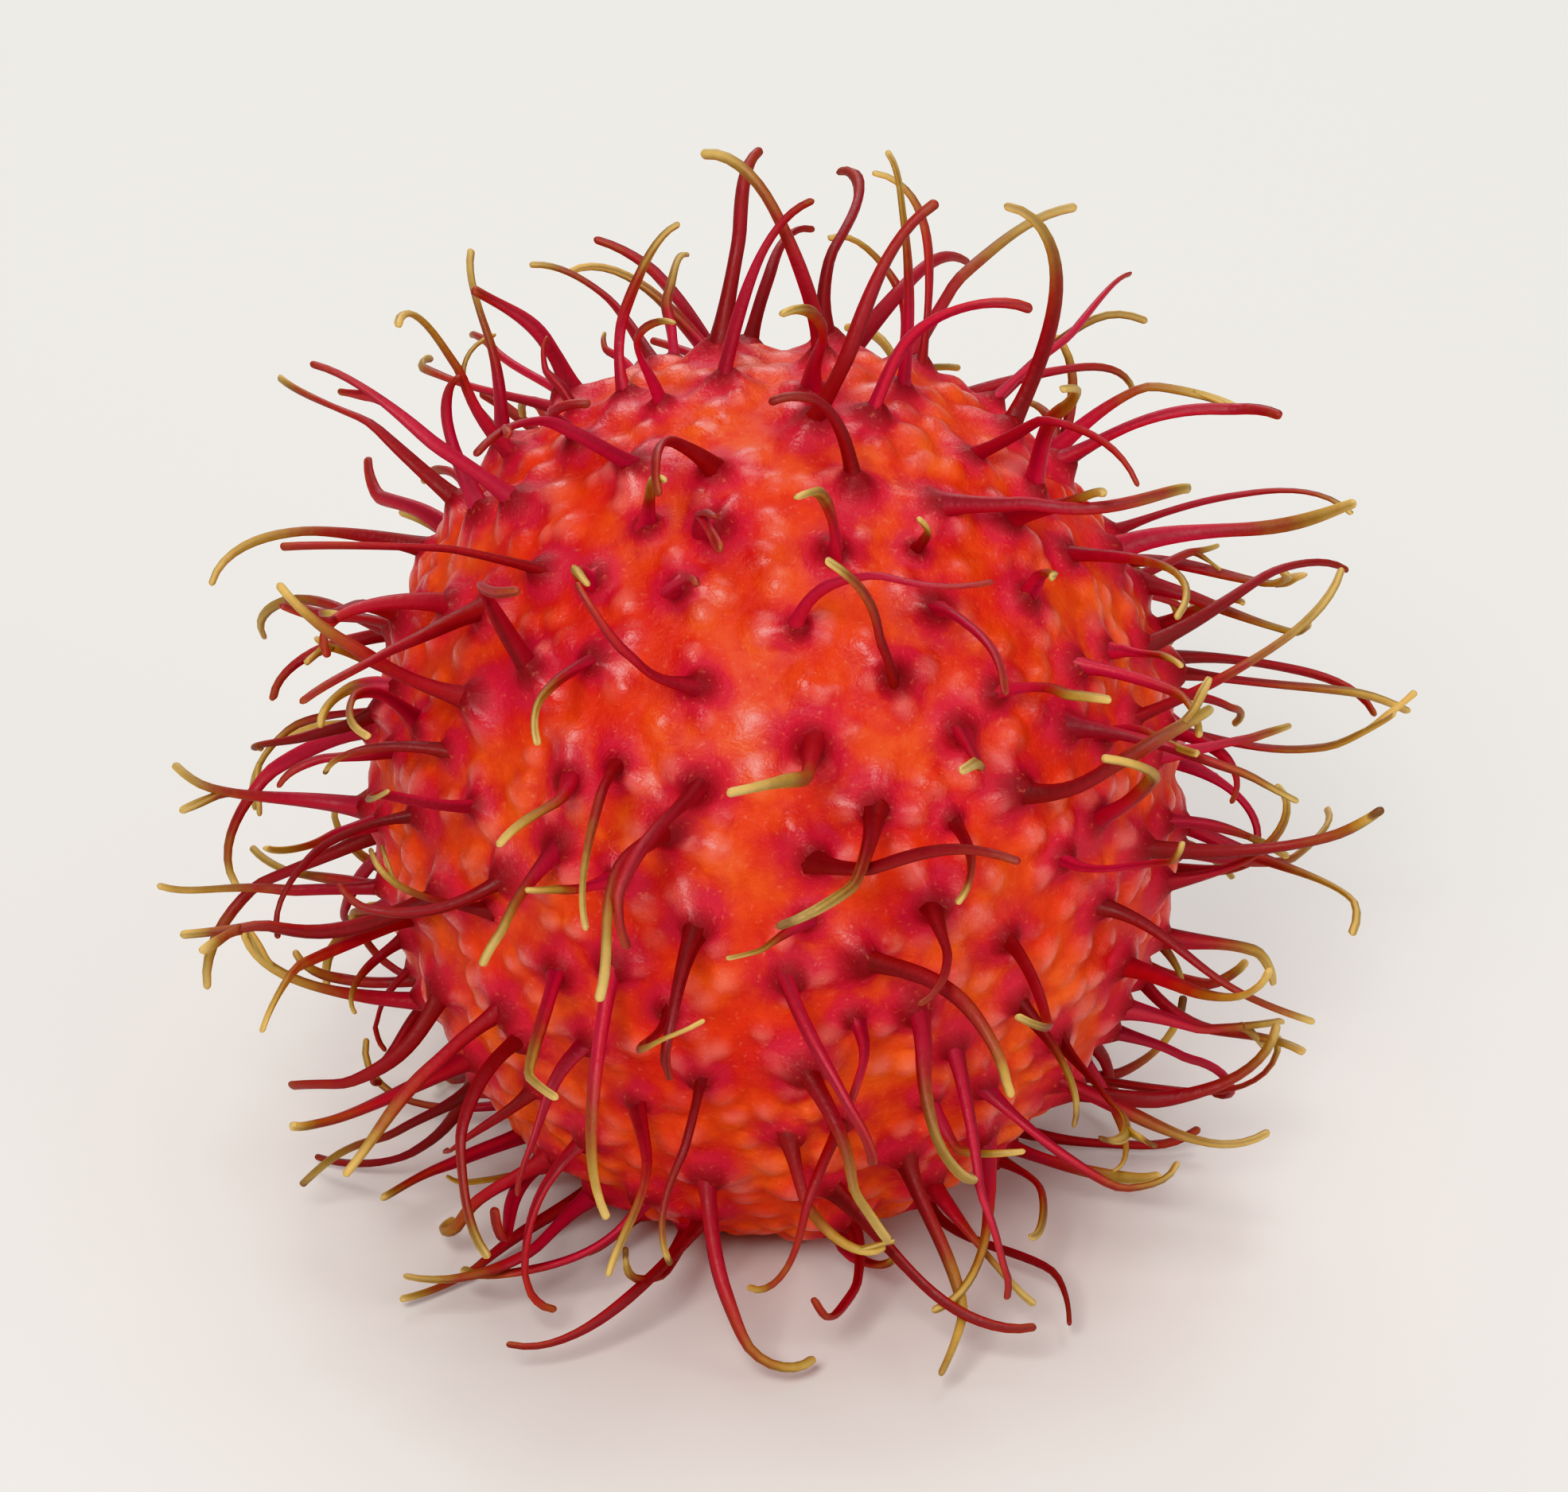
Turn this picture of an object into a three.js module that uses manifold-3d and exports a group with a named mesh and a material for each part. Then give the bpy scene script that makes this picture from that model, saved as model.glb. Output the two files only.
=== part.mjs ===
// A whole rambutan fruit, standing upright on the small flat spot at the stem end of its husk.
// The leathery husk and its soft, curved spines grew as one piece, so they are one closed solid.
// Millimetres, +Z up, origin at the centre of the flat spot, the fruit's suture towards -Y.

import * as THREE from "three";
import { mergeVertices } from "three/addons/utils/BufferGeometryUtils.js";
import Module from "manifold-3d";

// Husk: widest diameter, length from pole to pole, and how much of the lower pole is flat.
const bodyDiameter = 40;
const bodyLength = 46;
const flatSpotDepth = 1;

// Broad lumps that keep the husk from being a perfect ellipsoid.
const lumpShare = 0.012;
const lumpWaves = [
  { along: new THREE.Vector3(4, 0, 2), phase: 3.57 },
  { along: new THREE.Vector3(0, 5, -3), phase: 1.71 },
];

// Suture: a shallow furrow in a plane through the long axis, with a bare strip on each side.
const sutureTurn = -0.08;
const sutureDepth = 0.22;
const sutureHalfWidth = 1.5;
const bareHalfWidth = 2.1;

// Spines: how many the whole husk would carry, and how far their roots stray from an even spread.
const spineCount = 250;
const spineSeed = 2027;
const rootJitter = 0.11;
const rootDepth = 1.4;
const lowestRoot = 1.7;

// Spine sizes: arc length, a factor on every radius, and the radii that add up along a spine.
const shortestSpine = 7;
const longestSpine = 14.5;
const lengthBias = 0.6;
const thinnestSpine = 0.85;
const thickestSpine = 1.25;
const tipRadius = 0.25;
const shaftRadius = 0.13;
const shaftTaper = 1.1;
const footRadius = 0.4;
const footHeight = 1;

// Spine curves: lean at the root, curl towards the tip, a sideways wave and a kink, all in radians.
const leastLean = 0.12;
const mostLean = 0.62;
const leastCurl = 0.3;
const mostCurl = 2.1;
const evenCurlShare = 0.32;
const hookPower = 5;
const swingEachWay = 1.1;
const waveEachWay = 0.4;
const waveTurn = 5;
const kinkEachWay = 0.7;
const firstKinkStart = 0.35;
const lastKinkStart = 0.85;
const kinkSpan = 0.1;
const droop = 0.55;

// Spines bend clear of the husk and of the surface that the fruit stands on.
const floorGap = 0.15;
const floorReach = 9;
const floorBend = 3;
const steepestDip = -0.95;
const pressedLean = 0.9;
const pressedSplay = 2.4;
const huskGap = 1.2;
const rootShare = 0.2;

// Facets: a three-sided section takes a wider radius to look as thick as a round one.
const bodySegments = 34;
const bodyRings = 17;
const spineSides = 3;
const ringShares = [0, 0.12, 0.4, 0.7, 0.88, 1];
const sectionShare = 1.3;
const pathSteps = 20;

const equator = bodyDiameter / 2;
const pole = bodyLength / 2;
const bodyCentre = new THREE.Vector3(0, 0, pole - flatSpotDepth);
const sutureNormal = new THREE.Vector3(Math.cos(sutureTurn), Math.sin(sutureTurn), 0);

const wasm = await Module();
wasm.setup();

// Numbers from 0 to 1 that are the same on every run.
function seededDraw(seed) {
  const multiplier = 48271;
  const modulus = 2147483647;
  let state = seed;
  return () => {
    state = (state * multiplier) % modulus;
    return state / modulus;
  };
}

function between(least, most, share) {
  return least + (most - least) * share;
}

// The husk's surface in a direction from its centre: an ellipsoid with the lumps and the furrow.
function huskPoint(direction) {
  let scale = 1;
  for (const wave of lumpWaves) {
    scale += lumpShare * Math.sin(direction.dot(wave.along) + wave.phase);
  }
  const offSuture = direction.dot(sutureNormal) * equator;
  scale -= (sutureDepth / equator) * Math.exp(-((offSuture / sutureHalfWidth) ** 2));
  const { x, y, z } = direction;
  return new THREE.Vector3(x * equator, y * equator, z * pole).multiplyScalar(scale).add(bodyCentre);
}

function huskNormal(direction) {
  const { x, y, z } = direction;
  return new THREE.Vector3(x / equator, y / equator, z / pole).normalize();
}

// Directions of the roots: a golden-angle lattice, jittered, and moved off the bare strip.
function rootDirections(draw) {
  const goldenAngle = Math.PI * (3 - Math.sqrt(5));
  const bareShare = bareHalfWidth / equator;
  const directions = [];
  for (let i = 0; i < spineCount; i++) {
    const height = 1 - (2 * (i + 0.5)) / spineCount;
    const ring = Math.sqrt(1 - height * height);
    const turn = i * goldenAngle;
    const direction = new THREE.Vector3(ring * Math.cos(turn), ring * Math.sin(turn), height);
    direction.x += (draw() - 0.5) * rootJitter;
    direction.y += (draw() - 0.5) * rootJitter;
    direction.z += (draw() - 0.5) * rootJitter;
    direction.normalize();
    const offSuture = direction.dot(sutureNormal);
    if (Math.abs(offSuture) < bareShare) {
      const shift = (Math.sign(offSuture) || 1) * bareShare - offSuture;
      direction.addScaledVector(sutureNormal, shift).normalize();
    }
    directions.push(direction);
  }
  return directions;
}

// Keeps a spine's point outside the husk.
function keepClear(point, radius) {
  const out = point.clone().sub(bodyCentre);
  const level = Math.hypot(out.x / equator, out.y / equator, out.z / pole);
  const leastLevel = 1 + (huskGap + radius) / pole;
  if (level < leastLevel) point.copy(out.multiplyScalar(leastLevel / level).add(bodyCentre));
}

// Turns a step so that a spine coming down meets the floor gently and then lies along it.
function levelOut(ahead, clearance) {
  const leastRise = Math.max(-clearance / floorBend, steepestDip);
  if (ahead.z >= leastRise) return;
  const scale = Math.sqrt(1 - leastRise ** 2) / Math.hypot(ahead.x, ahead.y);
  ahead.set(ahead.x * scale, ahead.y * scale, leastRise);
}

// A spine leaves the skin near its normal, leans over and curls more and more towards its tip.
// Low on the husk it splays out, as the weight of the fruit presses the soft spines aside.
function spinePath(direction, draw) {
  const root = huskPoint(direction);
  const normal = huskNormal(direction);
  const length = between(shortestSpine, longestSpine, draw() ** lengthBias);
  const thickness = between(thinnestSpine, thickestSpine, draw());
  const heading = 2 * Math.PI * draw();
  const leanAmount = between(leastLean, mostLean, draw());
  const swing = between(-swingEachWay, swingEachWay, draw());
  const curl = between(leastCurl, mostCurl, draw());
  const wave = between(-waveEachWay, waveEachWay, draw());
  const wavePhase = 2 * Math.PI * draw();
  const kink = between(-kinkEachWay, kinkEachWay, draw());
  const kinkStart = between(firstKinkStart, lastKinkStart, draw());

  const pressed = THREE.MathUtils.clamp(1 - root.z / floorReach, 0, 1);
  const free = 1 - pressed;
  const side = new THREE.Vector3(-normal.y, normal.x, 0).normalize();
  const upwards = normal.clone().cross(side);
  const rise = (Math.sin(heading) - droop) * free + pressedSplay * pressed;
  const lean = side.clone().multiplyScalar(Math.cos(heading) * free);
  lean.addScaledVector(upwards, rise).normalize();

  const leanShare = leanAmount + pressedLean * pressed ** 2;
  const start = normal.clone().addScaledVector(lean, leanShare).normalize();
  const bend = lean.clone().applyAxisAngle(normal, swing * free);
  bend.addScaledVector(start, -bend.dot(start)).normalize();
  const across = start.clone().cross(bend);

  const point = root.clone();
  const points = [point.clone()];
  const step = length / pathSteps;
  for (let i = 1; i <= pathSteps; i++) {
    const share = i / pathSteps;
    const radius = spineRadius(share, length, thickness) * sectionShare;
    const angle = curl * (evenCurlShare * share + (1 - evenCurlShare) * share ** hookPower);
    const kinked = THREE.MathUtils.clamp((share - kinkStart) / kinkSpan, 0, 1);
    const sideways = wave * Math.sin(waveTurn * share + wavePhase) + kink * kinked;
    const ahead = start.clone().multiplyScalar(Math.cos(angle));
    ahead.addScaledVector(bend, Math.sin(angle));
    ahead.addScaledVector(across, sideways).normalize();
    levelOut(ahead, point.z - floorGap - radius);
    point.addScaledVector(ahead, step);
    if (share > rootShare) keepClear(point, radius);
    points.push(point.clone());
  }
  return { points, normal, across, length, thickness };
}

// Radius along a spine: a flared foot, a slim taper and a blunt end.
function spineRadius(share, length, thickness) {
  const shaft = shaftRadius * (1 - share) ** shaftTaper;
  const foot = footRadius * Math.exp((-share * length) / footHeight);
  return thickness * (tipRadius + shaft + foot);
}

// A cone's rings moved onto the path: the lowest ring is sunk in the husk, the apex is the tip.
function spineGeometry(path) {
  const curve = new THREE.CatmullRomCurve3(path.points);
  const lastRing = ringShares.length - 1;
  const geometry = new THREE.ConeGeometry(1, 1, spineSides, lastRing);
  const corners = geometry.getAttribute("position");
  for (let i = 0; i < corners.count; i++) {
    const ring = Math.round((corners.getY(i) + 0.5) * lastRing);
    const share = ringShares[ring];
    const corner = curve.getPointAt(share);
    if (ring === 0) corner.addScaledVector(path.normal, -rootDepth);
    if (ring < lastRing) {
      const turn = Math.atan2(corners.getX(i), corners.getZ(i));
      const radius = spineRadius(share, path.length, path.thickness) * sectionShare;
      const ahead = curve.getTangentAt(share);
      const over = ahead.clone().cross(path.across).normalize();
      const aside = ahead.clone().cross(over);
      corner.addScaledVector(over, radius * Math.cos(turn));
      corner.addScaledVector(aside, radius * Math.sin(turn));
    }
    corners.setXYZ(i, corner.x, corner.y, corner.z);
  }
  return geometry;
}

// A closed geometry as a solid, its shared corners merged.
function solidFrom(geometry) {
  geometry.deleteAttribute("normal");
  geometry.deleteAttribute("uv");
  const merged = mergeVertices(geometry, 1e-4);
  const solid = new wasm.Manifold(
    new wasm.Mesh({
      numProp: 3,
      vertProperties: new Float32Array(merged.getAttribute("position").array),
      triVerts: new Uint32Array(merged.index.array),
    }),
  );
  if (solid.volume() <= 0) throw new Error("a solid is inside out");
  return solid;
}

// The husk without spines, cut flat at the height of the floor.
function huskSolid() {
  const geometry = new THREE.SphereGeometry(1, bodySegments, bodyRings).rotateX(Math.PI / 2);
  const positions = geometry.getAttribute("position");
  const direction = new THREE.Vector3();
  for (let i = 0; i < positions.count; i++) {
    direction.fromBufferAttribute(positions, i).normalize();
    const point = huskPoint(direction);
    positions.setXYZ(i, point.x, point.y, point.z);
  }
  const below = new THREE.BoxGeometry(bodyDiameter, bodyDiameter, bodyDiameter);
  below.translate(0, 0, -bodyDiameter / 2);
  return solidFrom(geometry).subtract(solidFrom(below));
}

// Joins the solids in pairs, then the pairs in pairs, until one is left.
function joined(solids) {
  let left = solids;
  while (left.length > 1) {
    const pairs = [];
    for (let i = 0; i < left.length; i += 2) {
      pairs.push(i + 1 < left.length ? left[i].add(left[i + 1]) : left[i]);
    }
    left = pairs;
  }
  return left[0];
}

function geometryFrom(solid) {
  const mesh = solid.getMesh();
  const geometry = new THREE.BufferGeometry();
  geometry.setAttribute("position", new THREE.BufferAttribute(mesh.vertProperties, 3));
  geometry.setIndex(new THREE.BufferAttribute(mesh.triVerts, 1));
  geometry.computeVertexNormals();
  return geometry;
}

function rambutanFruit() {
  const draw = seededDraw(spineSeed);
  const solids = [huskSolid()];
  for (const direction of rootDirections(draw)) {
    const path = spinePath(direction, draw);
    if (path.points[0].z > lowestRoot) solids.push(solidFrom(spineGeometry(path)));
  }
  const material = new THREE.MeshStandardMaterial({ color: 0xd63a2c, roughness: 0.45, metalness: 0 });
  const fruit = new THREE.Mesh(geometryFrom(joined(solids)), material);
  fruit.name = "rambutan_fruit";
  return fruit;
}

const rambutan = new THREE.Group();
rambutan.add(rambutanFruit());

export default rambutan;
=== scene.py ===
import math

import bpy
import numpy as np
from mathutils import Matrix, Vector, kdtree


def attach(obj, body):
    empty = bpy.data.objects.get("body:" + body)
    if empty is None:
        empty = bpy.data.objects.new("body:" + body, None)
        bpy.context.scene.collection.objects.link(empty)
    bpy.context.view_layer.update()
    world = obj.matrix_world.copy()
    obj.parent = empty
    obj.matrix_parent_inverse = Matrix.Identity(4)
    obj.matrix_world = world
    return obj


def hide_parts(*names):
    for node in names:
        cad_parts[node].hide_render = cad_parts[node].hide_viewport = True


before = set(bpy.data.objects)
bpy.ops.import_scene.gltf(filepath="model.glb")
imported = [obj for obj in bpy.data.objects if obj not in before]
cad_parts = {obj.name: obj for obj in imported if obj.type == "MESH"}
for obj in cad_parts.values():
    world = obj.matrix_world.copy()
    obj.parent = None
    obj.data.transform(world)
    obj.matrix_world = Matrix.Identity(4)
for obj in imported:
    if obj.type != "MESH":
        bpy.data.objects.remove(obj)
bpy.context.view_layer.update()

# A whole ripe rambutan, standing on the small flat spot at its stem end.
# The fine skin and spines take the place of the faceted solid and keep its form: the husk's formula,
# the roots and the spine curves below are the solid's own. Shapes are worked out in millimetres.

MM = 0.001

# Husk, lumps and suture, as in the solid.
BODY_DIAMETER = 40.0
BODY_LENGTH = 46.0
FLAT_SPOT_DEPTH = 1.0
LUMP_SHARE = 0.012
LUMP_WAVES = (((4, 0, 2), 3.57), ((0, 5, -3), 1.71))
SUTURE_TURN = -0.08
SUTURE_DEPTH = 0.22
SUTURE_HALF_WIDTH = 1.5
BARE_HALF_WIDTH = 2.1

# Spines, as in the solid.
SPINE_COUNT = 250
SPINE_SEED = 2027
DRAW_MULTIPLIER = 48271
DRAW_MODULUS = 2147483647
ROOT_JITTER = 0.11
ROOT_DEPTH = 1.4
LOWEST_ROOT = 1.7
SPINE_LENGTHS = (7.0, 14.5)
LENGTH_BIAS = 0.6
SPINE_THICKNESS = (0.85, 1.25)
TIP_RADIUS = 0.25
SHAFT_RADIUS = 0.13
SHAFT_TAPER = 1.1
FOOT_RADIUS = 0.4
FOOT_HEIGHT = 1.0
LEAN = (0.12, 0.62)
CURL = (0.3, 2.1)
EVEN_CURL_SHARE = 0.32
HOOK_POWER = 5
SWING = (-1.1, 1.1)
WAVE = (-0.4, 0.4)
WAVE_TURN = 5.0
KINK = (-0.7, 0.7)
KINK_START = (0.35, 0.85)
KINK_SPAN = 0.1
DROOP = 0.55
FLOOR_GAP = 0.15
FLOOR_REACH = 9.0
FLOOR_BEND = 3.0
STEEPEST_FALL = 0.95
PRESSED_LEAN = 0.9
PRESSED_SPLAY = 2.4
HUSK_GAP = 1.2
ROOT_SHARE = 0.2
SECTION_SHARE = 1.3
PATH_STEPS = 20

EQUATOR = BODY_DIAMETER / 2
POLE = BODY_LENGTH / 2
BODY_CENTRE = np.array((0.0, 0.0, POLE - FLAT_SPOT_DEPTH))
SUTURE_NORMAL = np.array((math.cos(SUTURE_TURN), math.sin(SUTURE_TURN), 0.0))


def seeded_draw(seed):
    """Repeatable numbers from 0 to 1, the same in part.mjs."""
    state = seed
    while True:
        state = state * DRAW_MULTIPLIER % DRAW_MODULUS
        yield state / DRAW_MODULUS


def between(limits, share):
    return limits[0] + (limits[1] - limits[0]) * share


def unit(vectors):
    return vectors / np.linalg.norm(vectors, axis=-1, keepdims=True)


def husk_points(directions):
    """The husk's surface in directions from its centre: an ellipsoid with the lumps and the furrow."""
    scale = np.ones(directions.shape[:-1])
    for along, phase in LUMP_WAVES:
        scale = scale + LUMP_SHARE * np.sin(directions @ np.array(along) + phase)
    off_suture = directions @ SUTURE_NORMAL * EQUATOR
    scale = scale - SUTURE_DEPTH / EQUATOR * np.exp(-((off_suture / SUTURE_HALF_WIDTH) ** 2))
    return directions * (EQUATOR, EQUATOR, POLE) * scale[..., None] + BODY_CENTRE


def husk_normals(directions):
    return unit(directions / (EQUATOR, EQUATOR, POLE))


def lattice(count):
    """Evenly spread directions, on a golden-angle spiral."""
    i = np.arange(count)
    height = 1 - 2 * (i + 0.5) / count
    ring = np.sqrt(1 - height**2)
    turn = i * math.pi * (3 - math.sqrt(5))
    return np.stack((ring * np.cos(turn), ring * np.sin(turn), height), axis=1)


def root_directions(draw):
    bare_share = BARE_HALF_WIDTH / EQUATOR
    directions = lattice(SPINE_COUNT)
    for direction in directions:
        for axis in range(3):
            direction[axis] += (next(draw) - 0.5) * ROOT_JITTER
        direction /= np.linalg.norm(direction)
        off_suture = direction @ SUTURE_NORMAL
        if abs(off_suture) < bare_share:
            shift = math.copysign(bare_share, off_suture) - off_suture
            direction += SUTURE_NORMAL * shift
            direction /= np.linalg.norm(direction)
    return directions


def spine_radius(share, length, thickness):
    """Radius along a spine: a flared foot, a slim taper and a blunt end."""
    shaft = SHAFT_RADIUS * (1 - share) ** SHAFT_TAPER
    foot = FOOT_RADIUS * math.exp(-share * length / FOOT_HEIGHT)
    return thickness * (TIP_RADIUS + shaft + foot)


def turned(vector, axis, angle):
    """A vector turned about a unit axis."""
    cosine, sine = math.cos(angle), math.sin(angle)
    return vector * cosine + np.cross(axis, vector) * sine + axis * (axis @ vector) * (1 - cosine)


def clear_of_husk(point, radius):
    out = point - BODY_CENTRE
    level = np.linalg.norm(out / (EQUATOR, EQUATOR, POLE))
    least = 1 + (HUSK_GAP + radius) / POLE
    return out * (least / level) + BODY_CENTRE if level < least else point


def level_out(ahead, clearance):
    """Turns a step so that a spine coming down meets the floor gently and then lies along it."""
    least_rise = max(-clearance / FLOOR_BEND, -STEEPEST_FALL)
    if ahead[2] >= least_rise:
        return ahead
    level = ahead[:2] / np.linalg.norm(ahead[:2]) * math.sqrt(1 - least_rise**2)
    return np.array((level[0], level[1], least_rise))


def spine_path(direction, draw, lengths=SPINE_LENGTHS, thicknesses=SPINE_THICKNESS):
    """One spine's centre line, and what its tube needs to know of it.

    It leans over at its root and curls more and more towards its tip. Near the floor it is pressed
    outwards instead, and it stays clear of the floor and of the husk.
    """
    root = husk_points(direction)
    normal = husk_normals(direction)
    length = between(lengths, next(draw) ** LENGTH_BIAS)
    thickness = between(thicknesses, next(draw))
    heading = 2 * math.pi * next(draw)
    lean_amount = between(LEAN, next(draw))
    swing = between(SWING, next(draw))
    curl = between(CURL, next(draw))
    wave = between(WAVE, next(draw))
    wave_phase = 2 * math.pi * next(draw)
    kink = between(KINK, next(draw))
    kink_start = between(KINK_START, next(draw))

    pressed = min(max(1 - root[2] / FLOOR_REACH, 0), 1)
    free = 1 - pressed
    side = unit(np.array((-normal[1], normal[0], 0.0)))
    upwards = np.cross(normal, side)
    rise = (math.sin(heading) - DROOP) * free + PRESSED_SPLAY * pressed
    lean = unit(side * math.cos(heading) * free + upwards * rise)

    start = unit(normal + lean * (lean_amount + PRESSED_LEAN * pressed**2))
    bend = turned(lean, normal, swing * free)
    bend = unit(bend - start * (bend @ start))
    across = np.cross(start, bend)

    point = root.copy()
    points = [point.copy()]
    for i in range(1, PATH_STEPS + 1):
        share = i / PATH_STEPS
        radius = spine_radius(share, length, thickness) * SECTION_SHARE
        angle = curl * (EVEN_CURL_SHARE * share + (1 - EVEN_CURL_SHARE) * share**HOOK_POWER)
        ahead = start * math.cos(angle) + bend * math.sin(angle)
        kinked = min(max((share - kink_start) / KINK_SPAN, 0), 1)
        sideways = wave * math.sin(WAVE_TURN * share + wave_phase) + kink * kinked
        ahead = unit(ahead + across * sideways)
        ahead = level_out(ahead, point[2] - FLOOR_GAP - radius)
        point = point + ahead * (length / PATH_STEPS)
        if share > ROOT_SHARE:
            point = clear_of_husk(point, radius)
        points.append(point.copy())
    return {
        "points": np.array(points), "normal": normal, "start": start, "across": across,
        "length": length, "thickness": thickness,
    }


def grown_spines():
    draw = seeded_draw(SPINE_SEED)
    paths = [spine_path(direction, draw) for direction in root_directions(draw)]
    return [path for path in paths if path["points"][0][2] > LOWEST_ROOT]


# Short, thin spines in the widest gaps between the solid's own.
SHORT_SITES = 900
SHORT_SEED = 61
SHORT_GAP = 3.0
SHORT_LENGTHS = (4.0, 8.0)
SHORT_THICKNESS = (0.7, 0.95)


def short_spines(spines):
    draw = seeded_draw(SHORT_SEED)
    roots = [spine["points"][0] for spine in spines]
    shorter = []
    for direction in lattice(SHORT_SITES):
        root = husk_points(direction)
        off_suture = abs(direction @ SUTURE_NORMAL) * EQUATOR
        gap = np.linalg.norm(np.array(roots) - root, axis=1).min()
        if gap > SHORT_GAP and off_suture > BARE_HALF_WIDTH and root[2] > LOWEST_ROOT:
            shorter.append(spine_path(direction, draw, SHORT_LENGTHS, SHORT_THICKNESS))
            roots.append(root)
    return shorter


# Meshes.

def height_share(direction):
    """0 for what faces down and 1 for what faces up."""
    return (direction[2] + 1) / 2


def add_piece(name, points, faces, attributes, material):
    """A smooth mesh, given in millimetres, that takes the place of the solid."""
    mesh = bpy.data.meshes.new(name)
    mesh.from_pydata((points * MM).tolist(), [], faces)
    mesh.shade_smooth()
    for key, values in attributes.items():
        layer = mesh.attributes.new(key, "FLOAT", "POINT")
        layer.data.foreach_set("value", np.asarray(values, dtype=np.float32))
    mesh.materials.append(material)
    piece = bpy.data.objects.new(name, mesh)
    bpy.context.scene.collection.objects.link(piece)
    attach(piece, "root")
    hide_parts("rambutan_fruit")
    return piece


# Skin: a cube's grid blown up to the husk, with a relief of low bumps and a mound at each root.
SKIN_CELLS = 118
BUMP_COUNT = 1350
BUMP_JITTER = 0.035
BUMP_SEED = 11
BUMP_RADII = (0.9, 1.4)
BUMP_STEEPNESS = (0.28, 0.48)
BUMP_CLEARANCE = 1.3
BUMP_NEIGHBOURS = 4
DOME_POWER = 1.6
CREASE_POWER = 3
MOUND_HEIGHT = 1.2
MOUND_RADIUS = 0.95
MOUND_NEIGHBOURS = 3
HALO_RADIUS = 1.85
SUTURE_CALM = 1.6
CALM_SHARE = 0.7
SCAR_RADIUS = 2.1
SCAR_EDGE = 0.12
SCAR_DEPTH = 0.45
SCAR_RIPPLE = 0.25
SCAR_RIPPLE_TURN = 5.0


def cube_grid(cells):
    """Corners, as unit directions, and faces of a cube with evenly opened cells."""
    index, directions, faces = {}, [], []

    def corner(key):
        if key not in index:
            index[key] = len(directions)
            directions.append([math.tan(math.pi / 4 * (2 * v / cells - 1)) for v in key])
        return index[key]

    for axis in range(3):
        for level in (0, cells):
            for i in range(cells):
                for j in range(cells):
                    ring = [(i, j), (i + 1, j), (i + 1, j + 1), (i, j + 1)]
                    if level == 0:
                        ring.reverse()
                    keys = [tuple(np.roll((level, a, b), axis)) for a, b in ring]
                    faces.append([corner(key) for key in keys])
    return unit(np.array(directions)), faces


def nearest(tree, points, count=1):
    """Distances to, and numbers of, the nearest entries of a tree."""
    found = [tree.find_n(point, count) for point in points]
    distances = np.array([[entry[2] for entry in row] for row in found])
    numbers = np.array([[entry[1] for entry in row] for row in found])
    return distances, numbers


def tree_of(points):
    tree = kdtree.KDTree(len(points))
    for i, point in enumerate(points):
        tree.insert(point, i)
    tree.balance()
    return tree


def bump_field(points, roots):
    """Share of the full height, and raised height, of the low round bumps between the spines."""
    rng = np.random.default_rng(BUMP_SEED)
    directions = unit(lattice(BUMP_COUNT) + rng.normal(0, BUMP_JITTER, (BUMP_COUNT, 3)))
    centres = husk_points(directions)
    to_root, _ = nearest(tree_of(roots), centres)
    off_suture = np.abs(directions @ SUTURE_NORMAL) * EQUATOR
    kept = to_root[:, 0] > BUMP_CLEARANCE
    centres = centres[kept]
    calm = CALM_SHARE + (1 - CALM_SHARE) * np.clip(off_suture[kept] / SUTURE_CALM, 0, 1)
    radii = rng.uniform(*BUMP_RADII, len(centres))
    heights = radii * rng.uniform(*BUMP_STEEPNESS, len(centres)) * calm
    distances, numbers = nearest(tree_of(centres), points, BUMP_NEIGHBOURS)
    domes = np.clip(1 - (distances / radii[numbers]) ** 2, 0, 1) ** DOME_POWER
    raised = ((domes * heights[numbers]) ** CREASE_POWER).sum(axis=1) ** (1 / CREASE_POWER)
    return domes.max(axis=1), raised


def skin_mesh(spines, material):
    directions, faces = cube_grid(SKIN_CELLS)
    points = husk_points(directions)
    normals = husk_normals(directions)
    roots = np.array([spine["points"][0] for spine in spines])
    to_root, number = nearest(tree_of(roots), points, MOUND_NEIGHBOURS)
    starts = np.array([spine["start"] for spine in spines])[number]
    thickness = np.array([spine["thickness"] for spine in spines])[number]
    share, raised = bump_field(points, roots)
    mounds = MOUND_HEIGHT * thickness * np.exp(-((to_root / (MOUND_RADIUS * thickness)) ** 2))
    points = points + normals * raised[:, None] + (starts * mounds[..., None]).sum(axis=1)

    off_axis = np.hypot(points[:, 0], points[:, 1])
    below = directions[:, 2] < 0
    scar = np.where(below, 1 / (1 + np.exp((off_axis - SCAR_RADIUS) / SCAR_EDGE)), 0.0)
    ripple = 1 - SCAR_RIPPLE + SCAR_RIPPLE * np.cos(off_axis * SCAR_RIPPLE_TURN)
    floor = SCAR_DEPTH * scar * ripple
    points[:, 2] = np.where(below & (points[:, 2] < floor), floor, points[:, 2])
    halo = np.exp(-((to_root / (HALO_RADIUS * thickness)) ** 2)).max(axis=1)
    attributes = {"bump": share, "halo": halo, "scar": scar}
    return add_piece("husk_skin", points, faces, attributes, material)


# Spines: closed tubes with round, slightly flattened sections and rounded tips. A few are forked.
SPINE_SIDES = 10
SPINE_FLATNESS = (0.58, 0.96)
SPINE_TWIST = (-2.6, 2.6)
LOOK_SEED = 5
TIP_RINGS = ((0.45, 0.86), (0.8, 0.5))
RIDGE = 0.15
SWELL = 0.1
SWELL_TURNS = (7, 13)
SWELL_PHASES = (0, 6)
TIP_SLIMMING = 0.16

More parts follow.
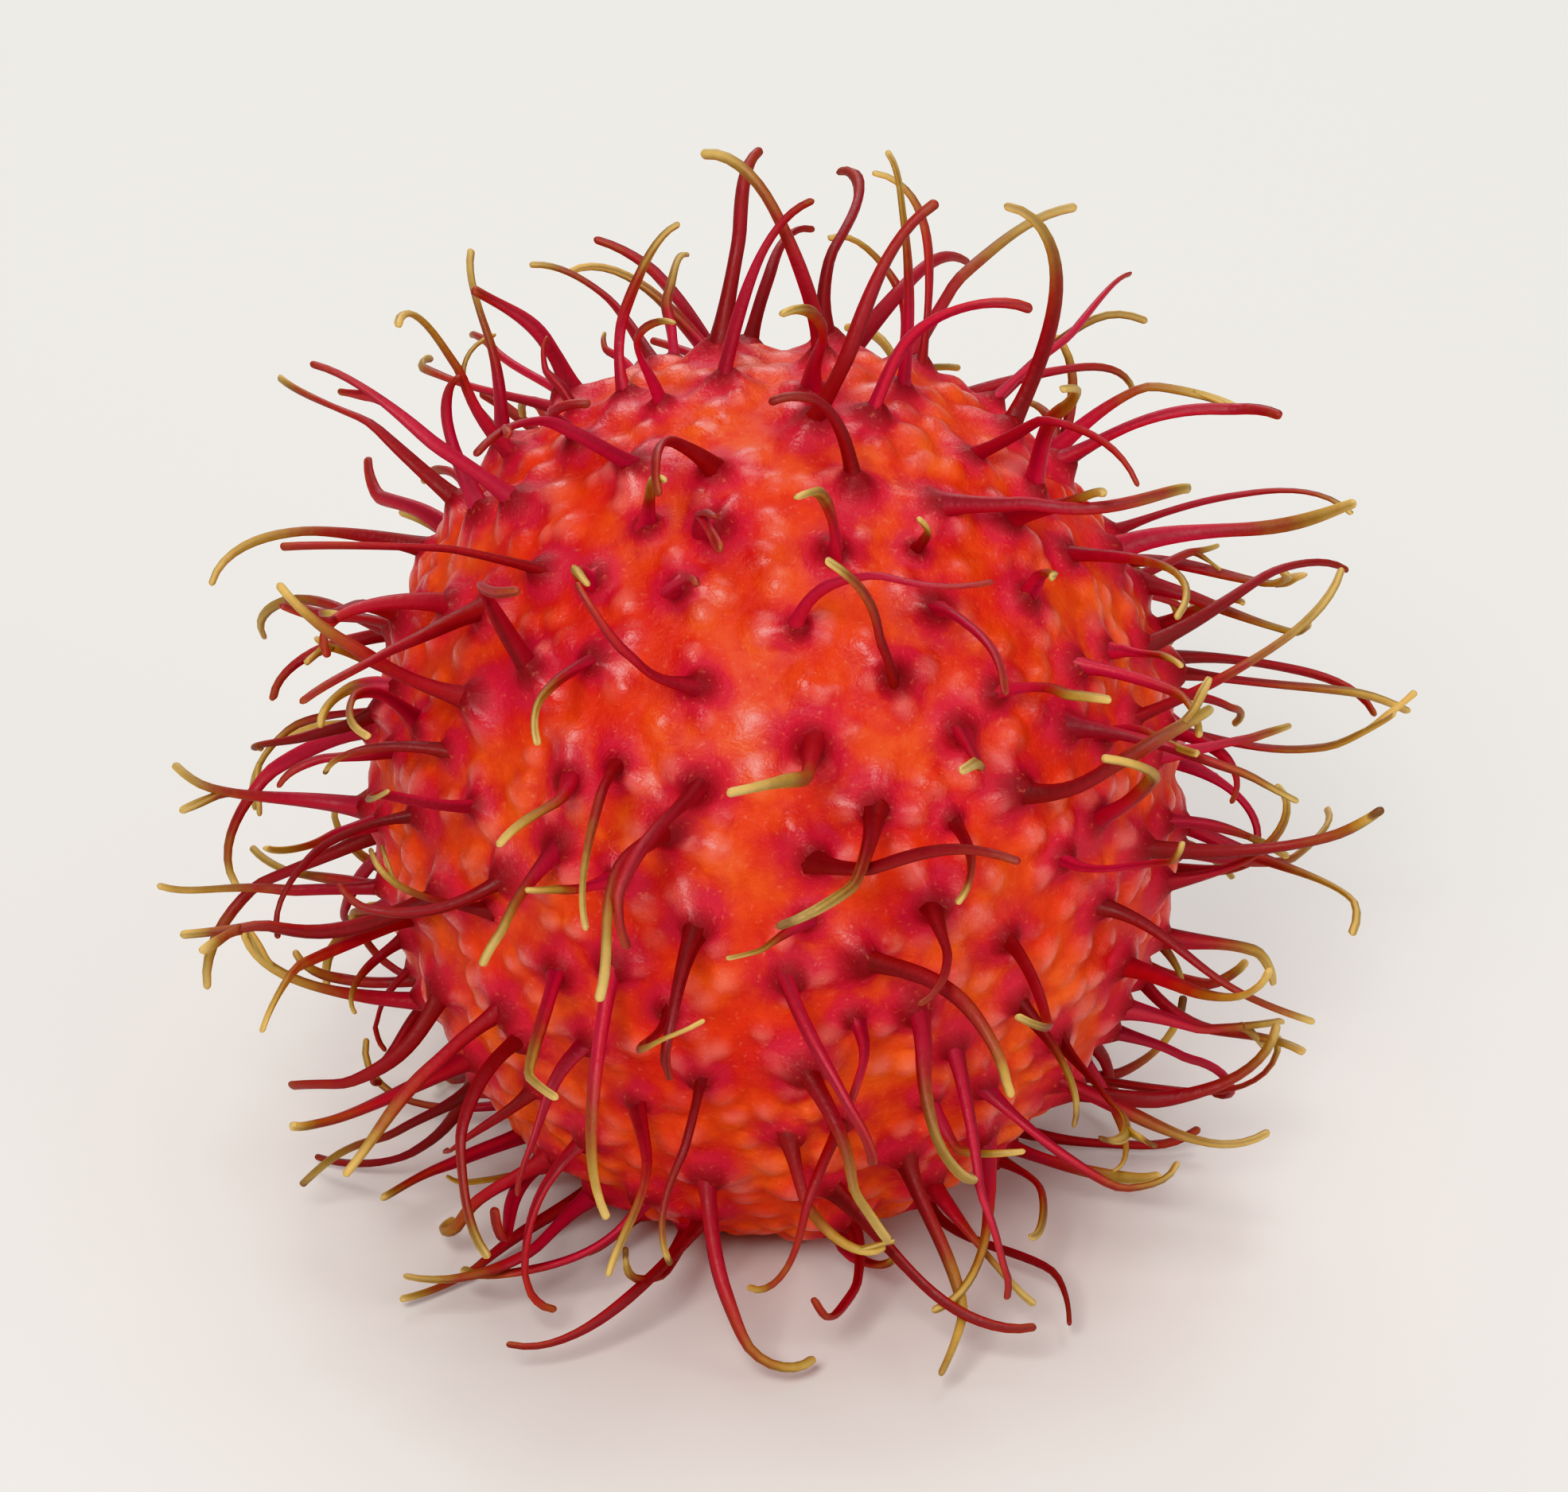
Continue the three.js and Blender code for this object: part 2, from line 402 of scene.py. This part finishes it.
# Forks: a short second tip leaves a spine at one of the path steps from FORK_STEP_FIRST on.
FORKED_SHARE = 0.09
FORK_STEP_FIRST = 14
FORK_STEP_CHOICES = 3
FORK_STEPS = 7
FORK_LENGTHS = (1.6, 3.2)
FORK_ANGLES = (0.45, 0.9)
FORK_TILTS = (-0.8, 0.8)
FORK_TURN_FIRST = 0.5
FORK_TURN_STEP = 0.25
FORK_THICKNESS = 0.85
FORK_FLOOR_GAP = 4.2

# Looks: shares of spines with red tips at the bottom and the top, the shares of a spine's length at
# which green starts (for a red tip, past the tip), and how far its height, not chance, sets its look: that
# part is painted light, brighter spines higher up and darker ones lower down.
RED_TIP_SHARES = (0.1, 0.36)
GREEN_STARTS = (0.46, 0.92)
NO_GREEN = 1.15
SHORTEST_GREEN = 0.01
GREEN_TINT = 0.5
LIT_HEIGHT_SHARE = 0.3


def tube(path, tangents, radii, across, rng):
    """Points and faces of a closed tube with a rounded end, and each point's ring and ridge height."""
    tip, tip_radius = tangents[-1], radii[-1]
    centres = list(path) + [path[-1] + tip * tip_radius * forward for forward, _ in TIP_RINGS]
    ahead = list(tangents) + [tip] * len(TIP_RINGS)
    radii = np.array(list(radii) + [tip_radius * size for _, size in TIP_RINGS])
    wobble = np.linspace(0, rng.uniform(*SWELL_TURNS), len(radii)) + rng.uniform(*SWELL_PHASES)
    radii = radii * (1 + SWELL * np.sin(wobble))
    flatness = rng.uniform(*SPINE_FLATNESS)
    turns = rng.uniform(0, math.pi) + rng.uniform(*SPINE_TWIST) * np.linspace(0, 1, len(radii))
    ridges = rng.uniform(-1, 1, SPINE_SIDES)
    points, faces = [], []
    for ring, (centre, along, radius, turn) in enumerate(zip(centres, ahead, radii, turns)):
        wide = turned(unit(np.cross(along, across)), along, turn)
        thin = np.cross(along, wide)
        for side in range(SPINE_SIDES):
            angle = 2 * math.pi * side / SPINE_SIDES
            offset = wide * math.cos(angle) + thin * math.sin(angle) * flatness
            points.append(centre + offset * radius * (1 + RIDGE * ridges[side]))
        if ring:
            low, high = (ring - 1) * SPINE_SIDES, ring * SPINE_SIDES
            for side in range(SPINE_SIDES):
                after = (side + 1) % SPINE_SIDES
                faces.append([low + side, low + after, high + after, high + side])
    last = (len(centres) - 1) * SPINE_SIDES
    points.append(path[-1] + tip * tip_radius)
    for side in range(SPINE_SIDES):
        faces.append([last + side, last + (side + 1) % SPINE_SIDES, len(points) - 1])
    faces.append(list(range(SPINE_SIDES - 1, -1, -1)))
    rings = np.append(np.repeat(np.arange(len(centres)), SPINE_SIDES), len(centres) - 1)
    streaks = np.append(np.tile(ridges, len(centres)), 0)
    return np.array(points), faces, rings, streaks


def spine_tube(spine, rng):
    path = spine["points"]
    tangents = unit(np.gradient(path, axis=0))
    shares = np.linspace(0, 1, PATH_STEPS + 1)
    radii = [spine_radius(share, spine["length"], spine["thickness"]) for share in shares]
    radii = radii * (1 - TIP_SLIMMING * shares**2)
    sunk = path[0] - spine["normal"] * ROOT_DEPTH
    path = np.vstack((sunk, path))
    tangents = np.vstack((tangents[0], tangents))
    points, faces, rings, streaks = tube(path, tangents, [radii[0], *radii], spine["across"], rng)
    return points, faces, np.clip((rings - 1) / PATH_STEPS, 0, 1), streaks


def fork_tube(spine, rng):
    """A short second tip that leaves a spine near its end."""
    first = int(rng.integers(FORK_STEP_FIRST, FORK_STEP_FIRST + FORK_STEP_CHOICES))
    tangents = unit(np.gradient(spine["points"], axis=0))
    angle = rng.uniform(*FORK_ANGLES) * rng.choice((-1, 1))
    axis = unit(turned(spine["across"], tangents[first], rng.uniform(*FORK_TILTS)))
    step = rng.uniform(*FORK_LENGTHS) / FORK_STEPS
    point, path, ahead = spine["points"][first], [], []
    for i in range(FORK_STEPS + 1):
        along = turned(tangents[first], axis, angle * min(1, FORK_TURN_FIRST + FORK_TURN_STEP * i))
        path.append(point)
        ahead.append(along)
        point = point + along * step
    shares = np.linspace(first / PATH_STEPS, 1, FORK_STEPS + 1)
    radii = [spine_radius(share, spine["length"], spine["thickness"]) * FORK_THICKNESS for share in shares]
    points, faces, rings, streaks = tube(np.array(path), np.array(ahead), radii, axis, rng)
    return points, faces, shares[np.clip(rings, 0, FORK_STEPS)], streaks


def spine_tint(shares, green_start):
    """Place in the spines' colour ramp: from 0 at the foot through GREEN_TINT, where green starts."""
    before = GREEN_TINT * shares / green_start
    green_length = max(1 - green_start, SHORTEST_GREEN)
    after = GREEN_TINT + (1 - GREEN_TINT) * (shares - green_start) / green_length
    return np.clip(np.where(shares < green_start, before, after), 0, 1)


def spine_mesh(spines, material):
    rng = np.random.default_rng(LOOK_SEED)
    points, faces, tints, looks, streaks = [], [], [], [], []
    count = 0
    for spine in spines:
        height = height_share(spine["normal"])
        red_tip = rng.random() < between(RED_TIP_SHARES, height)
        green_start = NO_GREEN if red_tip else rng.uniform(*GREEN_STARTS)
        # Part of the look comes from height: painted light, brighter spines higher up, darker lower down.
        look = between((rng.random(), height), LIT_HEIGHT_SHARE)
        tubes = [spine_tube(spine, rng)]
        if rng.random() < FORKED_SHARE and spine["points"][-1][2] > FORK_FLOOR_GAP:
            tubes.append(fork_tube(spine, rng))
        for tube_points, tube_faces, shares, tube_streaks in tubes:
            points.append(tube_points)
            faces.extend([[corner + count for corner in face] for face in tube_faces])
            count += len(tube_points)
            tints.append(spine_tint(shares, green_start))
            looks.append(np.full(len(tube_points), look))
            streaks.append(tube_streaks)
    attributes = {"tint": tints, "look": looks, "streak": streaks}
    attributes = {key: np.concatenate(values) for key, values in attributes.items()}
    return add_piece("husk_spines", np.concatenate(points), faces, attributes, material)


# Materials. Colours are six-digit sRGB codes, made linear by the standard's formula.
SRGB_STRAIGHT_END = 0.04045
SRGB_STRAIGHT_SLOPE = 12.92
SRGB_OFFSET = 0.055
SRGB_POWER = 2.4
NOISE_ROUGHNESS = 0.55


def linear(part):
    if part <= SRGB_STRAIGHT_END:
        return part / SRGB_STRAIGHT_SLOPE
    return ((part + SRGB_OFFSET) / (1 + SRGB_OFFSET)) ** SRGB_POWER


def colour(code):
    """A linear colour from a six-digit sRGB code."""
    parts = [int(code[i:i + 2], 16) / 255 for i in (0, 2, 4)]
    return [linear(part) for part in parts] + [1.0]


class Nodes:
    """Short calls to add and link a material's nodes."""

    def __init__(self, name):
        self.material = bpy.data.materials.new(name)
        self.material.use_nodes = True
        self.tree = self.material.node_tree
        self.shader = self.tree.nodes["Principled BSDF"]
        self.place = self.add("ShaderNodeTexCoord").outputs["Object"]

    def add(self, kind, **settings):
        node = self.tree.nodes.new(kind)
        for key, value in settings.items():
            setattr(node, key, value)
        return node

    def set(self, socket, value):
        if isinstance(value, bpy.types.NodeSocket):
            self.tree.links.new(value, socket)
        else:
            socket.default_value = value

    def attribute(self, name):
        return self.add("ShaderNodeAttribute", attribute_name=name).outputs["Fac"]

    def noise(self, size_mm, detail):
        node = self.add("ShaderNodeTexNoise")
        self.set(node.inputs["Vector"], self.place)
        node.inputs["Scale"].default_value = 1 / (size_mm * MM)
        node.inputs["Detail"].default_value = detail
        node.inputs["Roughness"].default_value = NOISE_ROUGHNESS
        return node.outputs["Fac"]

    def remap(self, value, low, high, to_low=0.0, to_high=1.0):
        node = self.add("ShaderNodeMapRange")
        self.set(node.inputs["Value"], value)
        for key, number in zip(("From Min", "From Max", "To Min", "To Max"), (low, high, to_low, to_high)):
            node.inputs[key].default_value = number
        return node.outputs["Result"]

    def math(self, operation, first, second):
        node = self.add("ShaderNodeMath", operation=operation)
        self.set(node.inputs[0], first)
        self.set(node.inputs[1], second)
        return node.outputs[0]

    def plus(self, first, second):
        return self.math("ADD", first, second)

    def times(self, first, second):
        return self.math("MULTIPLY", first, second)

    def mix(self, share, first, second, blend="MIX"):
        node = self.add("ShaderNodeMix", data_type="RGBA", blend_type=blend)
        self.set(node.inputs["Factor"], share)
        self.set(node.inputs["A"], first)
        self.set(node.inputs["B"], second)
        return node.outputs["Result"]

    def laid(self, base, mask, limits, most, code, blend="MIX"):
        """A colour laid on the base where a mask goes from the first of its limits to the second."""
        return self.mix(self.remap(mask, *limits, 0.0, most), base, colour(code), blend)

    def ramp(self, value, stops):
        node = self.add("ShaderNodeValToRGB")
        elements = node.color_ramp.elements
        while len(elements) < len(stops):
            elements.new(0.5)
        for element, (position, code) in zip(elements, stops):
            element.position = position
            element.color = colour(code)
        self.set(node.inputs["Fac"], value)
        return node.outputs["Color"]

    def bump(self, height, strength, distance_mm):
        node = self.add("ShaderNodeBump")
        self.set(node.inputs["Height"], height)
        node.inputs["Strength"].default_value = strength
        node.inputs["Distance"].default_value = distance_mm * MM
        self.set(self.shader.inputs["Normal"], node.outputs["Normal"])

    def soften(self, weight, reach, scale_mm):
        """Light that enters the surface: its share, how far each colour goes and the scale of that."""
        self.shader.inputs["Subsurface Weight"].default_value = weight
        self.shader.inputs["Subsurface Radius"].default_value = reach
        self.shader.inputs["Subsurface Scale"].default_value = scale_mm * MM


# Skin: sizes in millimetres and details of its patterns; the colours laid on it in order, with their
# mask, its limits and the most that is laid on; and the limits that the masks are made with.
SKIN_NOISES = {
    "patches": (8.0, 2.0), "mottle": (2.2, 4.0), "grain": (0.9, 3.0), "specks": (0.3, 2.0),
    "tops": (2.4, 1.0), "scar": (0.8, 3.0), "relief": (0.18, 2.0),
}
SKIN_RED = "D8320F"
SKIN_LAYERS = (
    ("patches", (0.38, 0.6), 1.0, "E65A1C"),
    ("mottle", (0.44, 0.7), 0.8, "BE1C1E"),
    ("grain", (0.4, 0.66), 0.4, "C42210"),
    ("uneven_halo", (0.12, 0.6), 0.9, "BC2238"),
    # Darker, deeper red between the bumps: partly the skin's own deeper red there, partly painted shade in
    # the hollows.
    ("valley_red_and_shade", (0.0, 1.0), 0.35, "C41C0E"),
    # Pale pink on the bump tops: partly the tops' own paler colour, partly a painted highlight.
    ("pale_top_and_highlight", (0.0, 1.0), 0.46, "E8786C"),
    ("halo", (0.7, 0.94), 1.0, "7E0E16"),
    ("specks", (0.6, 0.8), 0.3, "F08A70"),
)
SCAR_COLOURS = ((0.3, "4A2C18"), (0.7, "8A6238"))
HALO_UNEVENNESS = (0.25, 0.7, 0.55, 1.3)
VALLEY_BUMPS = (0.3, 0.0)
VALLEY_HALOS = (0.5, 0.2)
TOP_BUMPS = (0.3, 1.0)
TOP_PATCHES = (0.38, 0.62)
SKIN_ROUGHNESS = (0.1, 0.8, 0.58, 0.34)
SKIN_COAT = (0.3, 0.9, 0.0, 0.2)
COAT_ROUGHNESS = 0.22
SKIN_SPECULAR = 0.4
SKIN_SOFTNESS = (0.1, (1.0, 0.3, 0.2), 0.6)
GRAIN_RELIEF = 2.5
SKIN_RELIEF = (0.7, 0.07)


def skin_material():
    nodes = Nodes("rambutan_skin")
    noise = {name: nodes.noise(*values) for name, values in SKIN_NOISES.items()}
    halo, bump = nodes.attribute("halo"), nodes.attribute("bump")
    masks = {
        **noise,
        "halo": halo,
        "uneven_halo": nodes.times(halo, nodes.remap(noise["mottle"], *HALO_UNEVENNESS)),
        # Darker, deeper red between the bumps: partly the skin's own red, partly painted shade in the
        # hollows.
        "valley_red_and_shade": nodes.times(nodes.remap(bump, *VALLEY_BUMPS), nodes.remap(halo, *VALLEY_HALOS)),
        # Pale pink on the bump tops: partly their own paler colour, partly a painted highlight.
        "pale_top_and_highlight": nodes.times(nodes.remap(bump, *TOP_BUMPS), nodes.remap(noise["tops"], *TOP_PATCHES)),
    }
    base = colour(SKIN_RED)
    for mask, limits, most, code in SKIN_LAYERS:
        base = nodes.laid(base, masks[mask], limits, most, code)
    base = nodes.mix(nodes.attribute("scar"), base, nodes.ramp(noise["scar"], SCAR_COLOURS))
    nodes.set(nodes.shader.inputs["Base Color"], base)
    nodes.set(nodes.shader.inputs["Roughness"], nodes.remap(bump, *SKIN_ROUGHNESS))
    nodes.shader.inputs["Specular IOR Level"].default_value = SKIN_SPECULAR
    nodes.set(nodes.shader.inputs["Coat Weight"], nodes.remap(bump, *SKIN_COAT))
    nodes.shader.inputs["Coat Roughness"].default_value = COAT_ROUGHNESS
    nodes.soften(*SKIN_SOFTNESS)
    relief = nodes.plus(noise["relief"], nodes.times(noise["grain"], GRAIN_RELIEF))
    nodes.bump(relief, *SKIN_RELIEF)
    return nodes.material


# Spines: a ramp from foot to tip, made uneven by a mottle and by the ridges; then bright, dark, ridge,
# groove and dry-tip colours, the paler ridges being a painted highlight and the darker grooves painted
# shade.
# A look is a spine's own value, from 0 for the darkest to 1, partly set by its height as painted light:
# brighter higher up, darker lower down.
SPINE_RAMP = (
    (0.0, "7A0E13"), (0.14, "861318"), (0.28, "931B25"), (0.42, "923026"),
    (0.54, "8E542C"), (0.72, "9C7C3E"), (1.0, "C0A462"),
)
SPINE_MOTTLE = (1.1, 3.0)
TINT_MOTTLE = (0.3, 0.7, -0.06, 0.06)
TINT_RIDGES = (0.2, 0.5, 0.0, 0.05)
BRIGHT_TINTS = (0.45, 0.25)
BRIGHT_LOOKS = (0.42, 0.85, 0.0, 0.66)
BRIGHT_RED = "C42A4A"
DARK_TINTS = (0.62, 0.3)
DARK_LOOKS = (0.42, 0.12, 0.0, 0.6)
DARK_RED = "5A0C10"
RIDGE_HIGHLIGHT_LAYER = ((0.0, 1.0), 0.7, "D8BE98", "SOFT_LIGHT")
GROOVE_SHADE_LAYER = ((0.0, -1.0), 0.6, "A8906C", "MULTIPLY")
DRY_TINTS = (0.88, 0.98)
DRY_LOOKS = (0.24, 0.2)
DRY_BROWN = "6A4424"
SPINE_ROUGHNESS = (0.3, 0.7, 0.46, 0.64)
SPINE_SOFTNESS = (0.2, (1.0, 0.35, 0.2), 0.7)
SPINE_GRAIN = (0.35, 3.0)
SPINE_RELIEF = (0.8, 0.06)


def spine_material():
    nodes = Nodes("rambutan_spine")
    mottle = nodes.noise(*SPINE_MOTTLE)
    look, plain_tint, streak = nodes.attribute("look"), nodes.attribute("tint"), nodes.attribute("streak")
    tint = nodes.plus(plain_tint, nodes.remap(mottle, *TINT_MOTTLE))
    tint = nodes.plus(tint, nodes.times(streak, nodes.remap(plain_tint, *TINT_RIDGES)))
    bright = nodes.times(nodes.remap(plain_tint, *BRIGHT_TINTS), nodes.remap(look, *BRIGHT_LOOKS))
    dark = nodes.times(nodes.remap(plain_tint, *DARK_TINTS), nodes.remap(look, *DARK_LOOKS))
    dry = nodes.times(nodes.remap(look, *DRY_LOOKS), nodes.remap(tint, *DRY_TINTS))
    base = nodes.mix(bright, nodes.ramp(tint, SPINE_RAMP), colour(BRIGHT_RED))
    base = nodes.mix(dark, base, colour(DARK_RED))
    # Paler ridges are a painted highlight and darker grooves painted shade along each spine.
    base = nodes.laid(base, streak, *RIDGE_HIGHLIGHT_LAYER)
    base = nodes.laid(base, streak, *GROOVE_SHADE_LAYER)
    base = nodes.mix(dry, base, colour(DRY_BROWN))
    nodes.set(nodes.shader.inputs["Base Color"], base)
    nodes.set(nodes.shader.inputs["Roughness"], nodes.remap(mottle, *SPINE_ROUGHNESS))
    nodes.soften(*SPINE_SOFTNESS)
    nodes.bump(nodes.noise(*SPINE_GRAIN), *SPINE_RELIEF)
    return nodes.material


# Floor.
FLOOR_COLOUR = "E3E1DD"
FLOOR_ROUGHNESS = 0.85


def floor_material():
    nodes = Nodes("studio_floor")
    nodes.shader.inputs["Base Color"].default_value = colour(FLOOR_COLOUR)
    nodes.shader.inputs["Roughness"].default_value = FLOOR_ROUGHNESS
    return nodes.material


# Stage, light and camera, in metres, watts and degrees. A light has its place, size, power and tone.
FLOOR_HALF = 1.5
LIGHTS = {
    "key_light": ((-0.12, -0.40, 0.38), 0.24, 2.12, (1.0, 0.98, 0.95)),
    "fill_light": ((0.40, -0.34, 0.22), 0.3, 0.88, (0.96, 0.98, 1.0)),
    "top_light": ((0.08, 0.10, 0.52), 0.26, 0.7, (1.0, 1.0, 1.0)),
    "back_light": ((-0.06, 0.42, 0.34), 0.3, 1.0, (1.0, 1.0, 1.0)),
}
WORLD_COLOUR = (0.9, 0.9, 0.9, 1)
WORLD_STRENGTH = 0.42
CAMERA_ELEVATION = 28.5
CAMERA_DISTANCE = 0.46
FRAME_WIDTH = 0.080
CLIP_START = 0.01
AIM = (0.0005, 0.0, 0.0245)


def add_floor(material):
    mesh = bpy.data.meshes.new("studio_floor")
    corners = [(-FLOOR_HALF, -FLOOR_HALF, 0), (FLOOR_HALF, -FLOOR_HALF, 0),
               (FLOOR_HALF, FLOOR_HALF, 0), (-FLOOR_HALF, FLOOR_HALF, 0)]
    mesh.from_pydata(corners, [], [(0, 1, 2, 3)])
    mesh.materials.append(material)
    floor = bpy.data.objects.new("studio_floor", mesh)
    bpy.context.scene.collection.objects.link(floor)


def add_light(name, place, size, power, tone):
    light = bpy.data.lights.new(name, "AREA")
    light.shape = "DISK"
    light.size = size
    light.energy = power
    light.color = tone
    lamp = bpy.data.objects.new(name, light)
    lamp.location = place
    lamp.rotation_mode = "QUATERNION"
    lamp.rotation_quaternion = (Vector(place) - Vector(AIM)).to_track_quat("Z", "Y")
    bpy.context.scene.collection.objects.link(lamp)


def add_stage():
    add_floor(floor_material())
    for name, values in LIGHTS.items():
        add_light(name, *values)
    world = bpy.data.worlds.new("studio_world")
    world.use_nodes = True
    world.node_tree.nodes["Background"].inputs["Color"].default_value = WORLD_COLOUR
    world.node_tree.nodes["Background"].inputs["Strength"].default_value = WORLD_STRENGTH
    bpy.context.scene.world = world
    bpy.context.scene.view_settings.view_transform = "Khronos PBR Neutral"


def add_camera():
    data = bpy.data.cameras.new("camera")
    data.lens = data.sensor_width * CAMERA_DISTANCE / FRAME_WIDTH
    data.clip_start = CLIP_START
    camera = bpy.data.objects.new("camera", data)
    lift = math.radians(CAMERA_ELEVATION)
    back = Vector((0, -math.cos(lift), math.sin(lift)))
    camera.location = Vector(AIM) + back * CAMERA_DISTANCE
    camera.rotation_mode = "QUATERNION"
    camera.rotation_quaternion = back.to_track_quat("Z", "Y")
    bpy.context.scene.collection.objects.link(camera)
    bpy.context.scene.camera = camera


add_camera()
add_stage()
spines = grown_spines()
spines += short_spines(spines)
skin_mesh(spines, skin_material())
spine_mesh(spines, spine_material())

bpy.context.view_layer.update()
